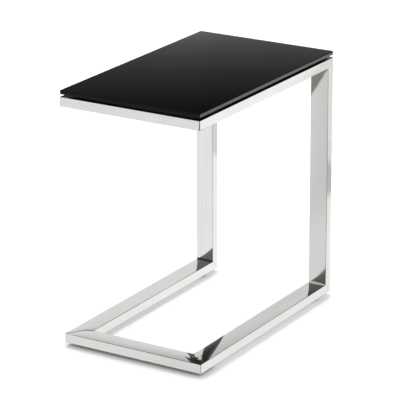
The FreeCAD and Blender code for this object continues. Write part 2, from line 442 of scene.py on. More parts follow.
@dataclass(frozen=True)
class PolishedSteel:
    """Mirror-polished stainless steel: polishing lines, ground seams, a straw tint beside them, painted dark
    reflection on the rounded edges and, on a rough front, painted shade.
    """

    run: Run
    half_width: float
    front: float
    back: float
    bottom: float
    top: float
    # A rough front face, whose colour carries painted shade.
    coarse_shaded_front: bool = False
    bright: Colour = (0.835, 0.828, 0.812, 1.0)
    dull: Colour = (0.785, 0.777, 0.76, 1.0)
    dullness: Slope = (0.0, 1.0, 0.7, 1.3)
    gloss: Slope = (0.02, 0.06, 0.1, 0.45)
    haze: Pair = (14, 3)
    lines: Pair = (900, 3)
    streaks: Pair = (240, 2)
    line_stretch: float = 0.02
    line_bump: Pair = (0.015, 0.0002)
    # Dark brown of the ground seams, also laid on the rounded edges as a painted dark reflection.
    seam_and_edge_shade: Colour = (0.14, 0.115, 0.09, 1.0)
    seam_share: Slope = (0.9, 0.0, 0.375 * MM, 0.75 * MM)
    straw: Colour = (0.80, 0.755, 0.68, 1.0)
    straw_share: Slope = (0.3, 0.0, 0.0, 7 * MM)
    bends: Pair = (55, 1)
    wander: float = 1.4 * MM
    quiet_seam: float = 0.4 * MM
    bowed_side: Slope = (1.0, 0.0, -0.02, 0.0)
    bow_at: float = 25 * MM
    bow: Slope = (8 * MM, 0.0, 0.0, 15 * MM)
    wide_upwards: Slope = (0.0, -1.6 * MM, 0.3, 0.7)
    near_right: Slope = (0.0, 1.0, 0.13, 0.14)
    near_top: Slope = (0.0, -0.8 * MM, 0.44, 0.46)
    rounded: Slope = (1.0, 0.0, 0.93, 0.99)
    # Painted dark reflection on the rounded edges: its strength, softer on uprights, most at the crossbar's
    # left tip.
    edge_shade: float = 0.8
    soft_edge_shade: float = 0.35
    tip_shade: float = 0.95
    tip: Pair = (-0.155, -0.135)
    # Painted shade on the rough front: darker low down, paler higher up.
    coarse_shade: Colour = (0.655, 0.65, 0.637, 1.0)
    coarse_shade_high: Colour = (0.72, 0.715, 0.70, 1.0)
    coarse_gloss: Pair = (0.09, 0.25)
    coarse_shade_rise: Slope = (0.0, 1.0, 0.10, 0.17)
    forwards: Slope = (1.0, 0.0, -0.85, -0.5)
    # A darker corner on the post's front, under the head weld.
    dark_corner: Colour = (0.26, 0.245, 0.225, 1.0)
    dark_corner_from: Pair = (0.118, 0.427)
    dark_corner_slope: Pair = (-0.851, 0.525)
    dark_corner_bends: Pair = (60, 1)
    dark_corner_wander: float = 2 * MM
    dark_corner_edge: Slope = (0.0, 1.0, -1.5 * MM, 2.5 * MM)

    def painted_edge_shade(self, graph: Graph) -> Socket:
        """How much painted dark reflection the rounded edges get, most at the left end of the crossbar.

        Args:
            graph: the finish's node tree.

        Returns:
            A share from 0 to 1.
        """
        x, y, z = [graph.maths("ABSOLUTE", socket) for socket in graph.facing()]
        flat = graph.maths("MAXIMUM", x, graph.maths("MAXIMUM", y, z))
        edge = self.soft_edge_shade if self.run is Run.UPRIGHT and not self.coarse_shaded_front else self.edge_shade
        dark = graph.spread(graph.axes()[0], self.tip_shade, edge, *self.tip)
        return graph.times(graph.spread(flat, *self.rounded), dark)

    def seam_distance(self, graph: Graph) -> Socket:
        """How far a point lies from the nearest mitred joint of this tube's run.

        Args:
            graph: the finish's node tree.

        Returns:
            The distance, less where a joint line is wide and more where it is quiet.
        """
        x, y, z = graph.axes()
        inset = graph.less(self.half_width, graph.maths("ABSOLUTE", x))
        left = graph.spread(x, *self.bowed_side)
        bow = graph.spread(graph.apart(inset, self.bow_at), *self.bow)
        in_plan = graph.maths("MULTIPLY_ADD", bow, left, graph.less(inset, graph.less(y, self.front)))
        near = graph.times(graph.spread(x, *self.near_right), graph.spread(z, *self.near_top))
        wide = graph.maths("MULTIPLY_ADD", left, graph.spread(graph.facing()[2], *self.wide_upwards), near)
        level = graph.maths("MINIMUM", graph.less(z, self.bottom), graph.less(self.top, z))
        in_elevation = graph.less(graph.less(self.back, y), level)
        bend = graph.spread(graph.noise(*self.bends), -self.wander, self.wander)
        distances = [
            graph.maths("ADD", graph.maths("ABSOLUTE", graph.maths("ADD", distance, bend)), shift)
            for distance, other_run, shift in (
                (in_plan, Run.UPRIGHT, wide), (in_elevation, Run.ACROSS, self.quiet_seam),
            ) if self.run is not other_run
        ]
        return graph.maths("MINIMUM", *distances) if len(distances) > 1 else distances[0]

    def dark_corner_share(self, graph: Graph) -> Socket:
        """Where the post is darker under the head weld: a corner.

        Args:
            graph: the finish's node tree.

        Returns:
            A share from 0 to 1.
        """
        x, _, z = graph.axes()
        over = [graph.less(socket, start) for socket, start in zip((x, z), self.dark_corner_from)]
        bend = graph.spread(graph.noise(*self.dark_corner_bends), -self.dark_corner_wander, self.dark_corner_wander)
        return graph.spread(graph.maths("ADD", graph.along(*over, self.dark_corner_slope), bend), *self.dark_corner_edge)

    def material(self) -> Material:
        """The finish as a material.

        Returns:
            The material.
        """
        ending = "_coarse_shaded" if self.coarse_shaded_front else ""
        graph = Graph(bpy.data.materials.new(f"polished_steel_{self.run.name.lower()}{ending}"))
        stretch = Vector((1, 1, 1))
        stretch[self.run.value] = self.line_stretch
        lines = graph.noise(*self.lines, stretch)
        streaks = graph.noise(*self.streaks, stretch)
        haze = graph.noise(*self.haze)
        share = graph.spread(graph.maths("ADD", haze, streaks), *self.dullness)
        distance = self.seam_distance(graph)
        colour = graph.blend(share, self.dull, self.bright)
        gloss = graph.spread(graph.times(lines, haze), *self.gloss)
        if self.coarse_shaded_front:
            # On the rough front: a rougher finish, and painted shade in the colour, darker low and paler
            # high.
            front = graph.spread(graph.facing()[1], *self.forwards)
            high = graph.spread(graph.axes()[2], *self.coarse_shade_rise)
            colour = graph.blend(front, colour, graph.blend(high, self.coarse_shade, self.coarse_shade_high))
            gloss = graph.maths("MULTIPLY_ADD", front, graph.between(high, *self.coarse_gloss), gloss)
            colour = graph.blend(graph.times(front, self.dark_corner_share(graph)), colour, self.dark_corner)
        colour = graph.blend(graph.spread(distance, *self.straw_share), colour, self.straw)
        colour = graph.blend(graph.spread(distance, *self.seam_share), colour, self.seam_and_edge_shade)
        # Painted dark reflection on the rounded edges, in the ground seams' dark brown.
        colour = graph.blend(self.painted_edge_shade(graph), colour, self.seam_and_edge_shade)
        return graph.surface(colour, gloss, self.line_bump, lines, Metallic=1.0)


@dataclass(frozen=True)
class Finish:
    """A finish of two colours that clouds blend, with a grain. Both are noises, as Graph takes them."""

    name: str
    colour: Colour
    clouded: Colour
    clouds: tuple
    grain: tuple
    gloss: tuple
    bump: Pair
    blending: Slope = (0.0, 1.0, 0.0, 1.0)
    gloss_by_grain: bool = False
    shader: dict = field(default_factory=dict)

    def material(self) -> Material:
        """The finish as a material.

        Returns:
            The material.
        """
        graph = Graph(bpy.data.materials.new(self.name))
        clouds, grain = graph.noise(*self.clouds), graph.noise(*self.grain)
        colour = graph.blend(graph.spread(clouds, *self.blending), self.colour, self.clouded)
        gloss = graph.spread(grain if self.gloss_by_grain else clouds, *self.gloss)
        return graph.surface(colour, gloss, self.bump, grain, **self.shader)


# The right foot weld: a straw heat tint, made pale cream as a painted highlight.
TINTED_HIGHLIT_WELD = Finish(
    "tinted_highlit_weld", colour=(0.98, 0.92, 0.80, 1.0), clouded=(0.78, 0.64, 0.46, 1.0), clouds=(420, 3),
    grain=(420, 3), gloss=(0.3, 0.45), bump=(0.3, 0.0003), blending=(0.0, 1.0, 0.5, 0.75),
)
# The left foot weld: near black, as painted shade and painted dark reflection.
SHADED_WELD = replace(
    TINTED_HIGHLIT_WELD, name="shaded_weld", colour=(0.03, 0.026, 0.026, 1.0), clouded=(0.012, 0.01, 0.011, 1.0),
)
BLACK_GLASS = Finish(
    "black_glass", colour=(0.002, 0.0021, 0.0025, 1.0), clouded=(0.004, 0.0042, 0.0048, 1.0),
    clouds=(9, 4), grain=(6, 1), gloss=(0.012, 0.03, 0.35, 0.7), bump=(0.01, 0.0005),
    shader={"IOR": 1.52},
)
GROUND_EDGE = Finish(
    "ground_glass_edge", colour=(0.004, 0.0042, 0.005, 1.0), clouded=(0.009, 0.0092, 0.011, 1.0),
    clouds=(1800, 2, (0.1, 0.1, 1)), grain=(1800, 2, (0.1, 0.1, 1)), gloss=(0.42, 0.55),
    bump=(0.1, 0.0001), shader={"IOR": 1.52, "Specular_IOR_Level": 0.15},
)
# The sides' polished edges: a paler grey on black glass, which is painted light.
POLISHED_LIT_EDGE = replace(
    GROUND_EDGE, name="polished_lit_glass_edge", colour=(0.065, 0.066, 0.072, 1.0),
    clouded=(0.10, 0.101, 0.108, 1.0), gloss=(0.08, 0.16), shader={"IOR": 1.52},
)
BACK_PAINT = Finish(
    "back_paint", colour=(0.003, 0.003, 0.003, 1.0), clouded=(0.007, 0.007, 0.0072, 1.0),
    clouds=(160, 4), grain=(1300, 2), gloss=(0.6, 0.74), bump=(0.15, 0.0001),
)
SPACER_RUBBER = Finish(
    "spacer_rubber", colour=(0.012, 0.012, 0.012, 1.0), clouded=(0.022, 0.022, 0.021, 1.0),
    clouds=(120, 3), grain=(2200, 3), gloss=(0.55, 0.78), bump=(0.25, 0.0001), gloss_by_grain=True,
)
ZINC_STEEL = Finish(
    "zinc_steel", colour=(0.58, 0.59, 0.60, 1.0), clouded=(0.46, 0.47, 0.475, 1.0), clouds=(260, 4),
    grain=(2600, 2, (0.2, 0.2, 1)), gloss=(0.22, 0.42), bump=(0.12, 0.0001), shader={"Metallic": 1.0},
)
MOULDED_NYLON = Finish(
    "moulded_nylon", colour=(0.013, 0.013, 0.014, 1.0), clouded=(0.04, 0.04, 0.04, 1.0), clouds=(90, 5),
    grain=(3000, 2), gloss=(0.36, 0.52), bump=(0.2, 0.0001), blending=(0.0, 1.0, 0.55, 0.75),
    gloss_by_grain=True,
)


# Sub-assemblies: frame, glass, spacers and glides.


@dataclass(frozen=True)
class End:
    """A tube's end: how it is cut, and which side of the section stays longest."""

    joint: Joint
    outer: Side = Side.LOW


@dataclass(frozen=True)
class Length:
    """A length of tube: its node and run, its longest side, its ends, its place and its holes' centres."""

    node: str
    run: Run
    length: float
    ends: tuple[End, End]
    to_place: Matrix
    holes: tuple[Vector, ...] = ()


@dataclass
class TubeStock:
    """Rectangular tube: its section, and the meshes of its lengths."""

    wide: float = 40 * MM
    tall: float = 20 * MM
    wall: float = 1.5 * MM
    corner: float = 0.75 * MM
    corner_segments: int = 4
    joint_corner: float = 0.75 * MM
    joint_steps: int = 5
    wide_crown: float = 0.5 * MM
    narrow_crown: float = 0.15 * MM
    support: float = 0.15 * MM
    grid: float = 2 * MM
    fine_step: float = 1.5 * MM
    fine_reach: float = 75 * MM
    plain_step: float = 8 * MM
    hole_flats: float = 9.1 * MM
    hole_reach: float = 1.5
    level_from: float = 0.9
    undivided: float = 6 * MM

    def ring(self, inset: float) -> Mesh:
        """A section of the tube as a closed ring of edges, upright across the tube's own Y.

        Args:
            inset: how far it lies inside the tube's outer faces. The outer ring has round corners.

        Returns:
            The ring.
        """
        bm = bmesh.new()
        bmesh.ops.create_grid(bm, x_segments=1, y_segments=1, size=0.5)
        bmesh.ops.scale(bm, vec=(self.wide - inset * 2, self.tall - inset * 2, 1), verts=bm.verts)
        bmesh.ops.rotate(bm, matrix=STAND_UP, verts=bm.verts)
        if not inset:
            bevel(bm, bm.verts, self.corner, self.corner_segments, "VERTICES")
        bmesh.ops.delete(bm, geom=bm.faces, context="FACES_ONLY")
        if not inset:
            self.crown(bm)
        return bm

    def crown(self, bm: Mesh) -> None:
        """Divides the outer ring's flats and makes them slightly convex, as those of drawn tube are.

        Args:
            bm: the ring.
        """
        half_wide, half_tall = self.wide / 2, self.tall / 2
        for edge in [edge for edge in bm.edges if edge.calc_length() > half_tall]:
            for vert in list(edge.verts):
                bmesh.utils.edge_split(edge, vert, self.support / edge.calc_length())
        for edge in [edge for edge in bm.edges if edge.calc_length() > half_tall]:
            cuts = round(edge.calc_length() / self.grid) - 1
            bmesh.ops.subdivide_edges(bm, edges=[edge], cuts=cuts)
        for vert in bm.verts:
            over_wide, over_tall = (vert.co.x / half_wide) ** 2, (vert.co.z / half_tall) ** 2
            vert.co.z *= 1 - self.wide_crown / half_tall * over_wide
            vert.co.x *= 1 - self.narrow_crown / half_wide * over_tall

    def cut_end(self, bm: Mesh, tube: Length, far: bool, ground: bool) -> None:
        """Cuts a skin's end at 45 degrees, unless it is square.

        Args:
            bm: the skin.
            tube: the tube.
            far: whether this is the far end.
            ground: whether its outer corner is ground round, as on the outer skin.
        """
        end, length = tube.ends[far], tube.length
        if end.joint is Joint.SQUARE:
            return
        axis, outer, radius = end.joint.value, end.outer.value, self.joint_corner
        half = (self.wide if end.joint is Joint.IN_PLAN else self.tall) / 2
        turns = [step / (self.joint_steps - 1) * math.pi / 4 for step in range(self.joint_steps)]
        reaches = [radius * (1 - math.tan(turn)) for turn in turns] + [radius + self.support]
        for reach in reaches if ground else []:
            cut_plane(bm, Vector((0, length - reach if far else reach, 0)), BACKWARDS)
        tip = Vector((0, length if far else 0, 0))
        tip[axis] = half * outer
        normal = Vector((0, 1 if far else -1, 0))
        normal[axis] = -outer
        cut_plane(bm, tip, normal.normalized(), clear=True)
        for vert in bm.verts if ground else []:
            along = length - vert.co.y if far else vert.co.y
            depth = half - vert.co[axis] * outer
            if along < radius and depth < radius:
                offset = Vector((radius - along, radius - depth))
                shrink = max(offset) / offset.length
                along, depth = radius - offset.x * shrink, radius - offset.y * shrink
                vert.co.y = length - along if far else along
                vert.co[axis] = (half - depth) * outer

    def skin(self, tube: Length, inset: float) -> Mesh:
        """A skin of a tube along its own Y, open at both ends. The outer one is finely divided.

        Args:
            tube: the tube.
            inset: how far the skin lies inside the tube's outer faces.

        Returns:
            The skin.
        """
        bm = self.ring(inset)
        last = list(bm.verts) + list(bm.edges)
        fine = round(self.fine_reach / self.fine_step)
        middle = tube.length - self.fine_reach * 2
        plain = max(1, round(middle / self.plain_step))
        near_end = (fine, self.fine_reach / fine)
        for steps, stride in [(1, tube.length)] if inset else [near_end, (plain, middle / plain), near_end]:
            last = sweep(bm, last, steps, (0, stride, 0))
        for far in (False, True):
            self.cut_end(bm, tube, far, not inset)
        return bm

    def grind(self, bm: Mesh, to_place: Matrix, depth_at: Callable[[Vector, Vector], float]) -> None:
        """Moves an outer skin inwards where its joints are ground.

        Args:
            bm: the skin, in its own frame.
            to_place: turns and moves that frame to where the tube belongs.
            depth_at: gives the depth ground off, from a place and the way the skin faces there.
        """
        turn = to_place.to_3x3()
        halves = (self.wide / 2 - self.corner, math.inf, self.tall / 2 - self.corner)
        for vert in bm.verts:
            away = Vector([
                math.copysign(max(abs(co) - half, 0.0), co) for co, half in zip(vert.co, halves)
            ])
            if away.length > 0.0:
                away.normalize()
                vert.co -= away * depth_at(to_place @ vert.co, turn @ away)

    def lower_wall(self, bm: Mesh, centre: Vector) -> list[bmesh.types.BMFace]:
        """The faces of a level tube's lower wall round a hole.

        Args:
            bm: the tube, in place.
            centre: the hole's centre on the underside.

        Returns:
            The faces that the hole may cut, those of the undivided inner skin among them.
        """
        top, reach = centre.z + self.wall * self.hole_reach, self.hole_flats * self.hole_reach
        return [
            face for face in bm.faces
            if all(vert.co.z < top for vert in face.verts) and abs(face.normal.z) > self.level_from
            and (abs(face.calc_center_median().y - centre.y) < reach or len(face.verts) > 4
                 or face.calc_area() > self.undivided ** 2)
        ]

    def bore_hole(self, bm: Mesh, centre: Vector) -> None:
        """Cuts a hexagonal hole through the lower wall of a tube that lies level.

        Args:
            bm: the tube, in place.
            centre: the hole's centre on the underside.
        """
        half = self.hole_flats / 2
        angles = [math.tau * (side + 0.5) / HEXAGON for side in range(HEXAGON)]
        normals = [Vector((math.cos(angle), math.sin(angle), 0)) for angle in angles]
        for normal in normals:
            cut_plane(bm, centre + normal * half, normal, faces=self.lower_wall(bm, centre))
        inside = [
            face for face in self.lower_wall(bm, centre)
            if all((face.calc_center_median() - centre).dot(normal) < half for normal in normals)
        ]
        bmesh.ops.delete(bm, geom=inside, context="FACES")
        bmesh.ops.bridge_loops(bm, edges=open_edges(bm))

    def hollow(self, tube: Length, depth_at: Callable[[Vector, Vector], float]) -> Mesh:
        """A hollow tube, in place.

        Args:
            tube: the tube.
            depth_at: gives the depth ground off, from a place and the way the skin faces there.

        Returns:
            The tube's mesh.
        """
        bm = self.skin(tube, 0.0)
        self.grind(bm, tube.to_place, depth_at)
        take_in(bm, self.skin(tube, self.wall))
        rims = open_edges(bm)
        for far in (False, True):
            rim = [edge for edge in rims if (edge.verts[0].co.y > tube.length / 2) == far]
            fill_ring(bm, rim)
        face_outwards(bm)
        bmesh.ops.transform(bm, matrix=tube.to_place, verts=bm.verts)
        bm.normal_update()
        for hole in tube.holes:
            self.bore_hole(bm, hole)
        face_outwards(bm)
        return bm


@dataclass
class WeldedFrame:
    """The frame of polished tube: two open side frames, a base crossbar and the top rails."""

    stock: TubeStock = field(default_factory=TubeStock)
    sharp_angle: float = 40.0
    glide_inset: float = 46 * MM
    ground_reach: float = 10 * MM
    ground_depth: float = 0.6 * MM
    ground_evenness: float = 0.75
    waves_per_metre: float = 30.0
    corner_depth: float = 0.12 * MM
    inner_share: float = 0.6
    inner_from: float = 0.9
    ripple_depth: float = 0.06 * MM
    ripple_reach: float = 14 * MM
    ripples_per_metre: float = 130.0
    rough_corner: float = 3.0
    # The post whose front is rough and painted with shade.
    coarse_shaded_post: str = "post_right"
    weld_leg: float = 3 * MM
    weld_hollow: float = 0.5 * MM
    weld_segments: int = 8
    weld_step: float = 2 * MM
    tinted_highlit_weld: str = "weld_foot_right"
    spindle_ends: float = 0.35
    spindle_peak: float = 0.8
    # The foot weld painted near black as shade, and the share of its section that it keeps.
    shaded_weld: str = "weld_foot_left"
    shaded_weld_size: float = 0.8

    def __post_init__(self) -> None:
        """Takes the frame's outer faces from the nodes that reach them."""
        rail_low, rail_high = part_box("top_rail_left")
        self.half_width = -rail_low.x
        self.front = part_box("top_rail_front")[0].y
        self.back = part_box("post_left")[1].y
        self.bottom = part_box("base_crossbar")[0].z
        self.top = rail_high.z
        self.near_floor: list[bpy.types.Object] = []
        outside = (self.half_width, self.front, self.back, self.bottom, self.top)
        self.steel = {run: PolishedSteel(run, *outside).material() for run in Run}
        self.special = {
            self.coarse_shaded_post: PolishedSteel(Run.UPRIGHT, *outside, coarse_shaded_front=True).material(),
            self.tinted_highlit_weld: TINTED_HIGHLIT_WELD.material(),
            self.shaded_weld: SHADED_WELD.material(),
        }

    def build(self) -> None:
        """Builds every tube and weld."""
        wide, tall = self.stock.wide, self.stock.tall
        depth, width, height = self.back - self.front, self.half_width * 2, self.top - self.bottom
        rounded, plain, post = [(end,) * 2 for end in (
            End(Joint.IN_PLAN, Side.HIGH), End(Joint.SQUARE), End(Joint.IN_ELEVATION))]
        low, high = self.bottom + tall / 2, self.top - tall / 2
        upright, turned = STAND_UP.to_4x4(), Matrix.Rotation(-math.pi / 2, 4, "Z")
        for name, side in SIDES.items():
            middle = (self.half_width - wide / 2) * side.value
            places = (self.front + self.glide_inset, self.back - self.glide_inset)
            holes = tuple(Vector((middle, place, self.bottom)) for place in places)
            for node, level, outer, bored in (
                ("base_runner", low, Side.LOW, holes), ("top_rail", high, Side.HIGH, ()),
            ):
                ends = (End(Joint.IN_PLAN, side), End(Joint.IN_ELEVATION, outer))
                start = Matrix.Translation((middle, self.front, level))
                self.tube(Length(f"{node}_{name}", Run.ALONG, depth, ends, start, bored))
            start = Matrix.Translation((middle, self.back - tall / 2, self.bottom)) @ upright
            self.tube(Length(f"post_{name}", Run.UPRIGHT, height, post, start))
            self.welds(name, side)
        for node, level in (("base_crossbar", low), ("top_rail_front", high)):
            start = Matrix.Translation((-self.half_width, self.front + wide / 2, level)) @ turned
            self.tube(Length(node, Run.ACROSS, width, rounded, start))
        start = Matrix.Translation((wide - self.half_width, self.back - wide / 2, high)) @ turned
        self.tube(Length("top_rail_back", Run.ACROSS, width - wide * 2, plain, start))

    def tube(self, tube: Length) -> None:
        """Builds one tube of the frame."""
        self.finish(f"{tube.node}_tube", self.stock.hollow(tube, self.depth_at), tube.node, tube.run)

    def finish(self, name: str, bm: Mesh, node: str, run: Run) -> None:
        """Makes a tube or a weld a piece of polished steel, or of its own finish where it has one.

        Args:
            name: the piece's name.
            bm: its mesh, in place.
            node: the node that it stands for.
            run: the direction of its polishing lines.
        """
        smooth_by_angle(bm, self.sharp_angle)
        steel = self.special.get(node, self.steel[run])
        piece = finished_piece(name, bm, [steel], node)
        if "base" in node or "foot" in node:
            self.near_floor.append(piece)

    def depth_at(self, place: Vector, facing: Vector) -> float:
        """How deep the grinding of the joints goes at a place on the tubes.

        Args:
            place: the place.
            facing: the way the face looks there.

        Returns:
            The depth.
        """
        in_plan = abs(self.half_width - abs(place.x) - (place.y - self.front)) / math.sqrt(2)
        level = min(place.z - self.bottom, self.top - place.z)
        in_elevation = abs(self.back - place.y - level) / math.sqrt(2)
        past = (self.back - place.y) > self.stock.tall * self.inner_from
        inner = past if abs(facing.z) > LEANING else facing.y < -LEANING
        plan_share = math.exp(-(in_plan / self.ground_reach) ** 2) * facing.z ** 2
        side_share = math.exp(-(in_elevation / self.ground_reach) ** 2)
        wave = noise.noise(place * self.waves_per_metre)
        depth = self.ground_depth * plan_share * (self.ground_evenness + (1 - self.ground_evenness) * wave)
        sideways = facing.x ** 2
        inner_share = (self.inner_share if inner else 0.0) * (1 - sideways)
        depth += self.corner_depth * side_share * (sideways + inner_share)
        ripple = self.ripple_depth * math.exp(-(min(in_plan, in_elevation) / self.ripple_reach) ** 2)
        if place.x > 0 > place.y and level == place.z - self.bottom:
            ripple *= self.rough_corner
        chatter = 1 + noise.noise(place * self.ripples_per_metre)
        return depth + ripple * (plan_share + side_share * sideways) * chatter

    def welds(self, name: str, side: Side) -> None:
        """Builds the ground welds in the inner corners on one side.

        Args:
            name: the side's name.
            side: the side of the table.
        """
        wide, tall, corner = self.stock.wide, self.stock.tall, self.stock.corner
        flat_wide, flat_tall = wide - corner * 2, tall - corner * 2
        across = (self.half_width - wide / 2) * side.value
        inner = (self.half_width - wide) * side.value
        post_face = self.back - tall
        inwards = Vector((-side.value, 0, 0))
        low, high = self.bottom + tall / 2, self.top - tall / 2
        for node, length, middle, first, second in (
            ("weld_foot", flat_wide, (across, post_face, self.bottom + tall), FORWARDS, UP),
            ("weld_head", flat_wide, (across, post_face, self.top - tall), FORWARDS, -UP),
            ("weld_base", flat_tall, (inner, self.front + wide, low), inwards, BACKWARDS),
            ("weld_top_front", flat_tall, (inner, self.front + wide, high), inwards, BACKWARDS),
            ("weld_top_back", flat_tall, (inner, self.back - wide, high), inwards, FORWARDS),
        ):
            self.weld(f"{node}_{name}", length, Vector(middle), first, second)

    def weld(self, node: str, length: float, middle: Vector, first: Vector, second: Vector) -> None:
        """Builds one ground weld.

        Args:
            node: the node that it stands for.
            length: its length along the corner.
            middle: the middle of the corner's line.
            first: the direction of one leg.
            second: the direction of the other leg.
        """
        bm = bmesh.new()
        leg, hollow = self.weld_leg, self.weld_hollow
        corners = [bm.verts.new(co) for co in ((0, 0, 0), (leg, 0, 0), (0, leg, 0))]
        bm.edges.new(corners[:2])
        bm.edges.new(corners[::2])
        bmesh.ops.subdivide_edges(bm, edges=[bm.edges.new(corners[1:])], cuts=self.weld_segments - 1)
        radius = (leg * leg / 2 + hollow ** 2) / (hollow * 2)
        out = leg / 2 + (radius - hollow) / math.sqrt(2)
        centre = Vector((out, out, 0))
        for vert in bm.verts:
            if vert.co.x > 0 and vert.co.y > 0:
                vert.co = centre + (vert.co - centre).normalized() * radius
        steps = max(2, round(length / self.weld_step))
        sweep(bm, list(bm.verts) + list(bm.edges), steps, (0, 0, length / steps))
        shift(bm, (0, 0, -length / 2))
        bmesh.ops.holes_fill(bm, edges=open_edges(bm))
        third = first.cross(second)
        crown = self.stock.wide_crown if abs(third.x) > LEANING else self.stock.narrow_crown
        for vert in bm.verts:
            end = vert.co.z / (length / 2)
            size, sunk = self.shaded_weld_size if node == self.shaded_weld else 1.0, crown * end ** 2
            if node == self.tinted_highlit_weld:
                size = self.spindle((end + 1) / 2)
            vert.co.x, vert.co.y = vert.co.x * size - sunk, vert.co.y * size - sunk
        turn = Matrix((first, second, third)).transposed().to_4x4()
        bmesh.ops.transform(bm, matrix=Matrix.Translation(middle) @ turn, verts=bm.verts)
        face_outwards(bm)
        self.finish(f"{node}_bead", bm, node, Run.ALONG)

    def spindle(self, place: float) -> float:
        """How much of its full section the tinted weld has left at a place from 0 to 1 along it."""
        rise = min(place / self.spindle_peak, (1 - place) / (1 - self.spindle_peak))
        return self.spindle_ends + (1 - self.spindle_ends) * math.sin(rise * math.pi / 2)


@dataclass
class GlassTop:
    """The black glass plate with its ground edges."""

    corner: float = 2.5 * MM
    corner_segments: int = 10
    arris: float = 1.0 * MM
    arris_angle: float = 0.6
    soften: float = 0.12 * MM
    sharp_angle: float = 50.0
    flat_area: float = 1e-3
    level: float = 0.999
    downwards: float = -0.3
    sideways: float = 0.8

    def build(self) -> None:
        """Builds the plate."""
        bm = rounded_block("glass_top", self.corner, self.corner_segments)
        bevel(bm, sharp_edges(bm, RIGHT_ANGLED), self.arris, 1)
        bevel(bm, sharp_edges(bm, self.arris_angle), self.soften, 2)
        smooth_by_angle(bm, self.sharp_angle)
        for face in bm.faces:
            flat = abs(face.normal.z) > self.level and face.calc_area() > self.flat_area
            face.smooth = not flat
            face.material_index = self.finish_of(face.normal, flat).value
        finishes = [finish.material() for finish in (BLACK_GLASS, GROUND_EDGE, BACK_PAINT, POLISHED_LIT_EDGE)]
        finished_piece("glass_plate", bm, finishes, "glass_top")

    def finish_of(self, facing: Vector, flat: bool) -> GlassFace:
        """Which finish a face of the plate has.

        Args:
            facing: its normal.
            flat: whether it is the top or the underside.

        Returns:
            The finish. The sides have polished edges, painted paler as painted light, and the ends ground
            ones.
        """
        if flat and facing.z > 0:
            return GlassFace.BARE
        if facing.z < self.downwards:
            return GlassFace.PAINTED
        return GlassFace.POLISHED_LIT if abs(facing.x) > self.sideways else GlassFace.GROUND


@dataclass
class Spacers:
    """The rubber pads that carry the glass."""

    corner: float = 2 * MM
    corner_segments: int = 6
    edge: float = 0.35 * MM
    edge_segments: int = 3
    sharp_angle: float = 40.0
    places: tuple[str, ...] = ("front", "middle", "back")

    def build(self) -> None:
        """Builds the six pads."""
        rubber = SPACER_RUBBER.material()
        for node in [f"spacer_{place}_{side}" for place in self.places for side in SIDES]:
            bm = rounded_block(node, self.corner, self.corner_segments)
            bevel(bm, sharp_edges(bm, RIGHT_ANGLED), self.edge, self.edge_segments)
            smooth_by_angle(bm, self.sharp_angle)
            finished_piece(f"{node}_pad", bm, [rubber], node)


